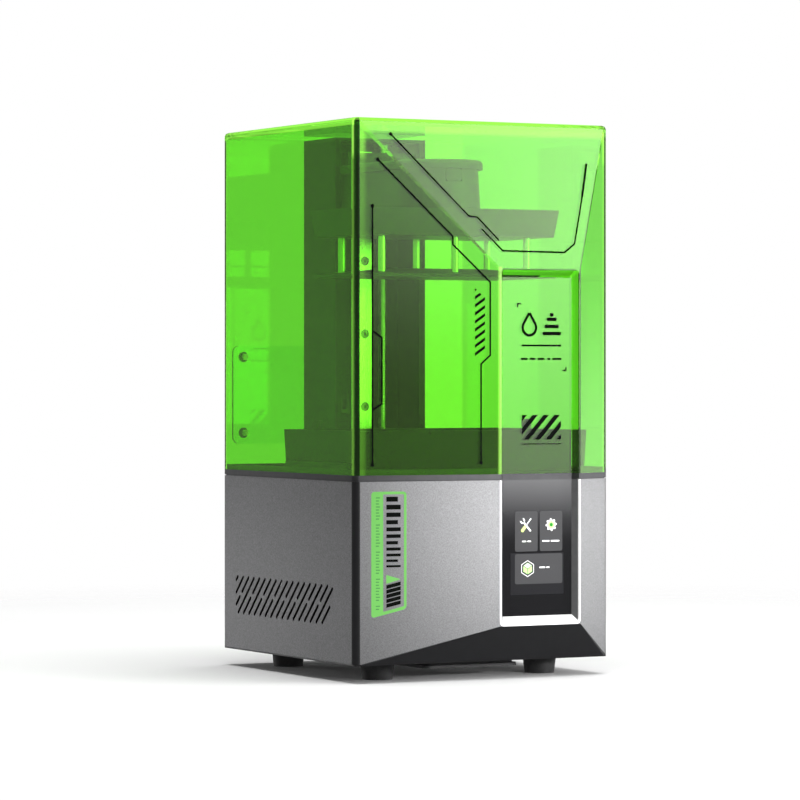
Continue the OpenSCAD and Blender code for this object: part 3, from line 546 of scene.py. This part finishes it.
FINISHES = {
    # The shell's paint carries near-black painted shade on its inner walls.
    "shell_metal": speckled(
        "shell_metal", (0.152, 0.152, 0.156), (0.262, 0.262, 0.268), 0.45, 0.55, inside_of="base_shell"),
    "silver_panel": speckled("silver_panel", (0.18, 0.18, 0.184), (0.258, 0.258, 0.264), 0.32, 0.65),
    "black_gloss": moulded("black_gloss", (0.0115, 0.0115, 0.013), 0.31, 0.4, 0.008, 0.25),
    "dark_plastic": moulded("dark_plastic", (0.03, 0.03, 0.032), 0.5),
    "rubber": rubber(),
    "screw_steel": machined("screw_steel", (0.5, 0.5, 0.52), 0.3),
    "bright_trim": polished("bright_trim", (0.98, 0.98, 0.985), 0.31),
    "screen_glass": screen_glass(),
    "display": moulded("display", (0.05, 0.05, 0.055), 0.3),
    "ribbon": moulded("ribbon", (0.7, 0.68, 0.62), 0.5),
    "deck": anodised("deck", (0.072, 0.072, 0.075), 0.42),
    "lcd": moulded("lcd", (0.012, 0.012, 0.02), 0.12, 0.2, 0.002, 0.8),
    "lens": clear_plastic("lens", (0.93, 0.97, 1.0), 0.02),
    "pcb": circuit_board(),
    "heatsink": machined("heatsink", (0.62, 0.62, 0.64), 0.35, (0.08, 1, 1)),
    "tower_metal": anodised("tower_metal", (0.018, 0.018, 0.019), 0.48),
    "rail_steel": machined("rail_steel", (0.8, 0.8, 0.82), 0.2, (1, 1, 0.04)),
    "brass": machined("brass", (0.72, 0.5, 0.2), 0.3),
    "motor": moulded("motor", (0.025, 0.025, 0.027), 0.4),
    "arm_metal": anodised("arm_metal", (0.05, 0.05, 0.052), 0.42),
    "post_steel": machined("post_steel", (0.85, 0.85, 0.87), 0.16, (1, 1, 0.05)),
    "plate_metal": anodised("plate_metal", (0.07, 0.07, 0.072), 0.5),
    "vat_metal": anodised("vat_metal", (0.018, 0.018, 0.019), 0.45),
    "film": clear_plastic("film", (0.9, 0.95, 1.0), 0.03),
    "green_acrylic": acrylic(),
}

for node in NODES.values():
    for slot in node.material_slots:
        slot.material = FINISHES[slot.material.name]

OWN_FINISHES = {
    "cover_hatch": clear_plastic("hatch_acrylic", (0.8, 0.97, 0.78), 0.0),
    "screen_bezel": moulded("screen_bezel", (0.11, 0.11, 0.112), 0.35, 0.4, 0.006),
    "rail_screws": machined("rail_screws", (0.28, 0.28, 0.29), 0.35),
}

for name, finish in OWN_FINISHES.items():
    NODES[name].material_slots[0].material = finish


# ---- printed marks ----

INK = 0.08
GAP = 0.01
MITRE_LIMIT = 0.5


class Face:
    """The front of a CAD node, on which marks are drawn in X and Z."""

    def __init__(self, node):
        mesh = NODES[node].data
        self.tree = BVHTree.FromPolygons([v.co for v in mesh.vertices], [p.vertices for p in mesh.polygons])

    def depth(self, x, z):
        found = self.tree.ray_cast(Vector((x * MM, -1, z * MM)), Vector((0, 1, 0)))[0]
        return found.y

    def point(self, x, z, lift):
        return Vector((x * MM, self.depth(x, z) - lift * MM, z * MM))


def plate(shape, face, outline, lift=0.0):
    """A thin plate with that outline. A lift brings it forward, over other marks."""
    fronts = [shape.verts.new(face.point(x, z, lift + GAP + INK)) for x, z in outline]
    backs = [shape.verts.new(face.point(x, z, lift + GAP)) for x, z in outline]
    shape.faces.new(fronts)
    shape.faces.new(backs[::-1])
    for i in range(len(outline)):
        j = (i + 1) % len(outline)
        shape.faces.new([fronts[j], fronts[i], backs[i], backs[j]])


def disc(shape, face, x, z, radius, sides=24, lift=0.0):
    turns = [2 * math.pi * i / sides for i in range(sides)]
    plate(shape, face, [(x + radius * math.cos(t), z + radius * math.sin(t)) for t in turns], lift)


def stepped(path, longest=4.0):
    """The path with its long stretches cut into short ones."""
    points = [Vector(path[0])]
    for end in path[1:]:
        start, end = points[-1], Vector(end)
        count = max(1, math.ceil((end - start).length / longest))
        points += [start.lerp(end, (i + 1) / count) for i in range(count)]
    return points


def ribbon(shape, face, path, width, lift=0.0):
    """A line of that width along the path."""
    points = stepped(path)
    rings = []
    for i, point in enumerate(points):
        before = (point - points[i - 1]).normalized() if i else (points[1] - point).normalized()
        after = (points[i + 1] - point).normalized() if i + 1 < len(points) else before
        along = (before + after).normalized()
        half = width / 2 / max(along.dot(before), MITRE_LIMIT)
        side = Vector((-along.y, along.x)) * half
        edges = (point + side, point - side)
        rings.append(
            [shape.verts.new(face.point(e.x, e.y, lift + GAP + INK)) for e in edges]
            + [shape.verts.new(face.point(e.x, e.y, lift + GAP)) for e in edges[::-1]])
    for a, b in zip(rings, rings[1:]):
        for i in range(4):
            j = (i + 1) % 4
            shape.faces.new([a[i], a[j], b[j], b[i]])
    shape.faces.new(rings[0][::-1])
    shape.faces.new(rings[-1])


def rounded(x0, z0, x1, z1, radius, steps=5):
    """A rectangle with round corners."""
    points = []
    for cx, cz, start in ((x1 - radius, z1 - radius, 0), (x0 + radius, z1 - radius, 90),
                          (x0 + radius, z0 + radius, 180), (x1 - radius, z0 + radius, 270)):
        for i in range(steps + 1):
            turn = math.radians(start + 90 * i / steps)
            points.append((cx + radius * math.cos(turn), cz + radius * math.sin(turn)))
    return points


def piece(name, body, material, draw):
    """A new object whose shape is what draw adds to an empty one."""
    shape = bmesh.new()
    draw(shape)
    bmesh.ops.recalc_face_normals(shape, faces=shape.faces)
    mesh = bpy.data.meshes.new(name)
    shape.to_mesh(mesh)
    shape.free()
    mesh.materials.append(material)
    thing = bpy.data.objects.new(name, mesh)
    scene.collection.objects.link(thing)
    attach(thing, body)


cover_face = Face("cover")
ink_black = print_ink("ink_black", (0.002, 0.003, 0.002))

TRACE_WIDTH = 1.4
TRACE_DOT = 1.5
TRACE_PATHS = (
    [(-86, 438.5), (-18.5, 374), (-11, 373.5), (8, 355)],
    [(-7.5, 364), (11, 346.5), (69, 346), (79, 353), (89, 392)],
    [(-98, 418), (-33.5, 357.5), (-33.5, 351), (-1, 321), (-1, 262), (-9, 255), (-9, 175.5)],
    [(-102.5, 381), (-102.5, 174.5)],
    [(-102.5, 281.5), (-94.5, 276), (-94.5, 223), (-102.5, 218)],
)
TRACE_ENDS = ((-86, 438.5), (-98, 418), (-102.5, 381), (-102.5, 174.5), (-9, 175.5))
WIDE_STROKE = 2.0
WIDE_STROKE_PATH = [(89, 392), (95, 419.5)]


def draw_traces(shape):
    for path in TRACE_PATHS:
        ribbon(shape, cover_face, path, TRACE_WIDTH)
    for x, z in TRACE_ENDS:
        disc(shape, cover_face, x, z, TRACE_DOT)
    ribbon(shape, cover_face, WIDE_STROKE_PATH, WIDE_STROKE)


def cut_off(outline, axis, limit, keep_above):
    """The part of a convex outline on one side of a limit on axis 0 or 1."""
    kept = []
    for here, there in zip(outline, outline[1:] + outline[:1]):
        keep_here, keep_there = ((p[axis] >= limit) == keep_above for p in (here, there))
        if keep_here:
            kept.append(here)
        if keep_here != keep_there:
            share = (limit - here[axis]) / (there[axis] - here[axis])
            kept.append(tuple(a + (b - a) * share for a, b in zip(here, there)))
    return kept


def draw_side_bars(shape):
    """Nine slanted bars; the upper two are cut off by a line that slants the other way."""
    left, right, rise, thick = -14.3, -5.6, 6.0, 2.6
    for i in range(9):
        low = 261.4 + 6.5 * i
        bar = [(left, low), (right, low + rise), (right, low + rise + thick), (left, low + thick)]
        if i == 7:
            bar = [(left, low), (-8.6, low + 3.9), (-10.1, low + 5.4), (left, low + thick)]
        if i == 8:
            bar = [(left, low), (-12.7, low + 1.3), (left, low + thick)]
        plate(shape, cover_face, bar)


def draw_panel_marks(shape):
    """A resin drop and a stack of printed layers, with dashes, a striped block and corner marks."""
    drop_x, drop_z, drop_r = 38.2, 284.6, 6.3
    turns = [math.radians(a) for a in range(32, -213, -12)]
    round_part = [(drop_x + drop_r * math.cos(t), drop_z + drop_r * math.sin(t)) for t in turns]
    ribbon(shape, cover_face, [(drop_x + 0.2, 296.4)] + round_part + [(drop_x - 0.2, 296.4)], 2.2)
    for x0, x1, z in ((50.5, 68, 278.6), (52.5, 66, 284.4), (54.5, 64, 290.2)):
        plate(shape, cover_face, rounded(x0, z - 0.2, x1, z + 2.7, 1.2, 3))
    plate(shape, cover_face, rounded(57.5, 293.6, 61, 296.6, 1.2, 3))
    plate(shape, cover_face, [(31, 269.3), (68, 269.3), (68, 270.8), (31, 270.8)])
    for x0, x1 in ((30, 36.5), (38.5, 44), (46, 52.5), (55, 58), (59.8, 68.5)):
        plate(shape, cover_face, rounded(x0, 258.3, x1, 260.0, 0.7, 2))
    ribbon(shape, cover_face, [(27.2, 301), (27.2, 303.9), (30.3, 303.9)], 1.2)
    ribbon(shape, cover_face, [(69.8, 249.8), (72.7, 249.8), (72.7, 252.6)], 1.2)
    block_left, block_right = 31.2, 68.0
    for i in range(-2, 4):
        x = block_left + 1.6 + 10.35 * i
        stripe = [(x, 193.6), (x + 5.1, 193.6), (x + 23.8, 213.6), (x + 18.7, 213.6)]
        stripe = cut_off(cut_off(stripe, 0, block_left, True), 0, block_right, False)
        plate(shape, cover_face, stripe)
    dashes = ((31.3, 36), (36.8, 40.5), (41.2, 45.4), (46.6, 51.5), (52.2, 57.5), (58.2, 60.6), (61.2, 67.9))
    for x0, x1 in dashes:
        plate(shape, cover_face, [(x0, 189.6), (x1, 189.6), (x1, 190.4), (x0, 190.4)])


piece("cover_traces", "cover", ink_black, draw_traces)
piece("cover_side_bars", "cover", ink_black, draw_side_bars)
piece("cover_panel_marks", "cover", ink_black, draw_panel_marks)


# ---- label on the base ----

label_face = Face("front_fascia")
BARS_LEFT, BARS_RIGHT = -90.7, -78.4
TICKS_LEFT = -99.6


def framed(shape, face, outer, inner):
    """The band between two outlines that have the same number of points."""
    count = len(outer)
    rows = []
    for outline, lift in ((outer, GAP + INK), (inner, GAP + INK), (inner, GAP), (outer, GAP)):
        rows.append([shape.verts.new(face.point(x, z, lift)) for x, z in outline])
    for a, b in zip(rows, rows[1:] + rows[:1]):
        for i in range(count):
            j = (i + 1) % count
            shape.faces.new([a[i], b[i], b[j], a[j]])


def slanted_rounded(x0, x1, top, low_left, low_right, radius, steps=4):
    """A rounded outline whose foot is lower at the left."""
    points = rounded(x0, low_right, x1, top, radius, steps)
    middle = (low_right + top) / 2
    drop = (low_left - low_right) / (x1 - x0)
    return [(x, z if z > middle else z + drop * (x1 - x)) for x, z in points]


def draw_label_frame(shape):
    outer = slanted_rounded(-103.5, -73.5, 153, 52.3, 59.3, 2.6)
    inner = slanted_rounded(-93.4, -75.6, 150.9, 57.2, 61.4, 0.4)
    framed(shape, label_face, outer, inner)
    plate(shape, label_face, [(BARS_LEFT, 86.6), (BARS_LEFT, 79.6), (BARS_RIGHT, 83.0)])


def draw_label_bars(shape):
    """A generic pattern: printed layers that grow thinner, and five slanted bars."""
    z = 149.0
    for i in range(11):
        thick = 4.0 - 0.22 * i
        right = BARS_RIGHT - (0.0 if i % 3 else 2.4)
        plate(shape, label_face, [(BARS_LEFT, z - thick), (right, z - thick), (right, z), (BARS_LEFT, z)])
        z -= thick + 2.45
    for i in range(5):
        low = 60.4 + 3.75 * i
        right_edge = [(BARS_RIGHT, low + 2.8), (BARS_RIGHT, low + 5.8)]
        plate(shape, label_face, [(BARS_LEFT, low), *right_edge, (BARS_LEFT, low + 3.0)])


def draw_label_ticks(shape):
    """Small marks down the wide side of the label's frame."""
    for i in range(38):
        if i % 9 == 8:
            continue
        z = 148.6 - 2.4 * i
        left, right = TICKS_LEFT, TICKS_LEFT + (2.6 if i % 3 else 3.4)
        plate(shape, label_face, [(left, z - 0.9), (right, z - 0.9), (right, z), (left, z)], INK)


ink_label = print_ink("ink_label", (0.19, 0.57, 0.13))
ink_ticks = print_ink("ink_ticks", (0.10, 0.33, 0.09))
piece("label_frame", "base", ink_label, draw_label_frame)
piece("label_bars", "base", ink_black, draw_label_bars)
piece("label_ticks", "base", ink_ticks, draw_label_ticks)


# ---- what the touch screen shows ----

screen_face = Face("touch_glass")
LAYER = 0.10
TOOLS = (35, 124)
WHEEL = (58.6, 124.2)
CUBE = (36.4, 88.9)
SPANNER_TURN, SCREWDRIVER_TURN = 42, -40


def draw_screen_ground(shape):
    plate(shape, screen_face, rounded(20.5, 67.7, 70.5, 101.5, 0.6, 2))


def draw_tiles(shape):
    for x0, z0, x1, z1 in ((25.6, 102.8, 46.9, 135.4), (48.9, 102.8, 70.2, 135.4), (25.6, 76.4, 70.2, 100.8)):
        plate(shape, screen_face, rounded(x0 - 1.0, z0, x1 - 1.0, z1, 1.6, 4), LAYER)


def turned(points, x, z, angle):
    """Points turned about the origin, then moved to (x, z)."""
    c, s = math.cos(math.radians(angle)), math.sin(math.radians(angle))
    return [(x + a * c - b * s, z + a * s + b * c) for a, b in points]


def draw_white_icons(shape):
    """A spanner and a screwdriver's blade, a toothed wheel, a hexagon, and dashes in place of words."""
    lift = 2 * LAYER
    spanner = [(-0.75, -6.4), (0.75, -6.4), (0.75, 3.2), (-0.75, 3.2)]
    plate(shape, screen_face, turned(spanner, *TOOLS, SPANNER_TURN), lift)
    for side in (-1, 1):
        jaw = [(side * 0.2, 2.6), (side * 2.2, 3.8), (side * 2.3, 6.2), (side * 1.2, 6.2), (side * 0.9, 4.4)]
        plate(shape, screen_face, turned(jaw[::side], *TOOLS, SPANNER_TURN), lift)
    blade = [(-0.35, 0.2), (0.35, 0.2), (0.6, 7.2), (-0.6, 7.2)]
    plate(shape, screen_face, turned(blade, *TOOLS, SCREWDRIVER_TURN), lift)
    wheel = []
    for i in range(32):
        reach = 5.2 if i % 4 in (0, 1) else 4.0
        turn = i * math.pi / 16
        wheel.append((WHEEL[0] + reach * math.cos(turn), WHEEL[1] + reach * math.sin(turn)))
    plate(shape, screen_face, wheel, lift)
    turns = [math.radians(a) for a in range(0, 361, 60)]
    hexagon = [(CUBE[0] + 6.5 * math.sin(t), CUBE[1] + 6.5 * math.cos(t)) for t in turns]
    ribbon(shape, screen_face, hexagon, 0.5, lift)
    dashes = (
        (31.2, 35.2, 111), (36.2, 39.6, 111), (50.2, 57.0, 111), (58.2, 66.4, 111),
        (47.4, 53.0, 89.6), (54, 57, 89.6))
    for x0, x1, z in dashes:
        plate(shape, screen_face, rounded(x0, z - 0.6, x1, z + 0.6, 0.5, 2), lift)


def draw_green_icons(shape):
    lift = 3 * LAYER
    disc(shape, screen_face, *WHEEL, 3.1, 20, lift)
    right_side = [(0.25, -0.25), (4.0, 2.0), (4.0, -2.3), (0.25, -4.5)]
    left_side = [(-x, z) for x, z in right_side]
    for outline in (right_side, left_side):
        plate(shape, screen_face, turned(outline, *CUBE, 0), lift)


def draw_cube_top(shape):
    plate(shape, screen_face, turned([(0, 0.2), (3.8, 2.4), (0, 4.6), (-3.8, 2.4)], *CUBE, 0), 3 * LAYER)


def draw_dark_dot(shape):
    disc(shape, screen_face, *WHEEL, 1.5, 16, 4 * LAYER)


def draw_yellow_handle(shape):
    handle = rounded(-1.3, -6.6, 1.3, -0.6, 0.9, 3)
    plate(shape, screen_face, turned(handle, *TOOLS, SCREWDRIVER_TURN), 3 * LAYER)


SCREEN_PIECES = (
    ("screen_ground", "screen_dark", (0.016, 0.016, 0.018), 0.25, draw_screen_ground),
    ("screen_tiles", "screen_tile", (0.045, 0.045, 0.047), 0.9, draw_tiles),
    ("screen_white", "screen_white", (0.8, 0.8, 0.8), 0.7, draw_white_icons),
    ("screen_green", "screen_green", (0.42, 0.72, 0.26), 0.6, draw_green_icons),
    ("screen_cube_top", "screen_pale", (0.62, 0.85, 0.5), 0.6, draw_cube_top),
    ("screen_dot", "screen_dark_green", (0.02, 0.25, 0.02), 0.3, draw_dark_dot),
    ("screen_handle", "screen_yellow", (0.62, 0.78, 0.25), 0.6, draw_yellow_handle),
)

for name, tint, colour, glow, draw in SCREEN_PIECES:
    piece(name, "base", picture(tint, colour, glow), draw)


# ---- thread of the lead screw ----

def threaded_rod(low, high, pitch=2 * MM, depth=0.55 * MM, columns=28):
    """A rod as wide and long as that box, with a trapezoid thread."""
    centre = (low + high) / 2
    outer = (high.x - low.x) / 2
    profile = (outer, outer, outer - depth, outer - depth)
    rows_a_turn = len(profile)
    step = pitch / rows_a_turn
    rows = round((high.z - low.z + 2 * pitch) / step)
    shape = bmesh.new()
    rings = []
    for k in range(rows):
        radius = profile[k % rows_a_turn]
        ring = []
        for j in range(columns):
            turn = 2 * math.pi * j / columns
            x, y = centre.x + radius * math.cos(turn), centre.y + radius * math.sin(turn)
            z = low.z - pitch + k * step + pitch * j / columns
            ring.append(shape.verts.new((x, y, z)))
        rings.append(ring)
    for k in range(rows - 1):
        for j in range(columns - 1):
            shape.faces.new([rings[k][j], rings[k][j + 1], rings[k + 1][j + 1], rings[k + 1][j]])
        above = k + rows_a_turn
        if above + 1 < rows:
            shape.faces.new([rings[k][-1], rings[above][0], rings[above + 1][0], rings[k + 1][-1]])
    for height, direction in ((low.z, -1), (high.z, 1)):
        cut = bmesh.ops.bisect_plane(
            shape, geom=shape.verts[:] + shape.edges[:] + shape.faces[:], plane_co=(0, 0, height),
            plane_no=(0, 0, direction), clear_outer=True)
        edges = [e for e in cut["geom_cut"] if isinstance(e, bmesh.types.BMEdge)]
        bmesh.ops.contextual_create(shape, geom=edges)
    return shape


def add_lead_screw():
    shape = threaded_rod(*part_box("lead_screw"))
    bmesh.ops.recalc_face_normals(shape, faces=shape.faces)
    mesh = bpy.data.meshes.new("threaded_screw")
    shape.to_mesh(mesh)
    shape.free()
    mesh.materials.append(FINISHES["rail_steel"])
    thing = bpy.data.objects.new("threaded_screw", mesh)
    scene.collection.objects.link(thing)
    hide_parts("lead_screw")
    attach(thing, "z_screw")


add_lead_screw()
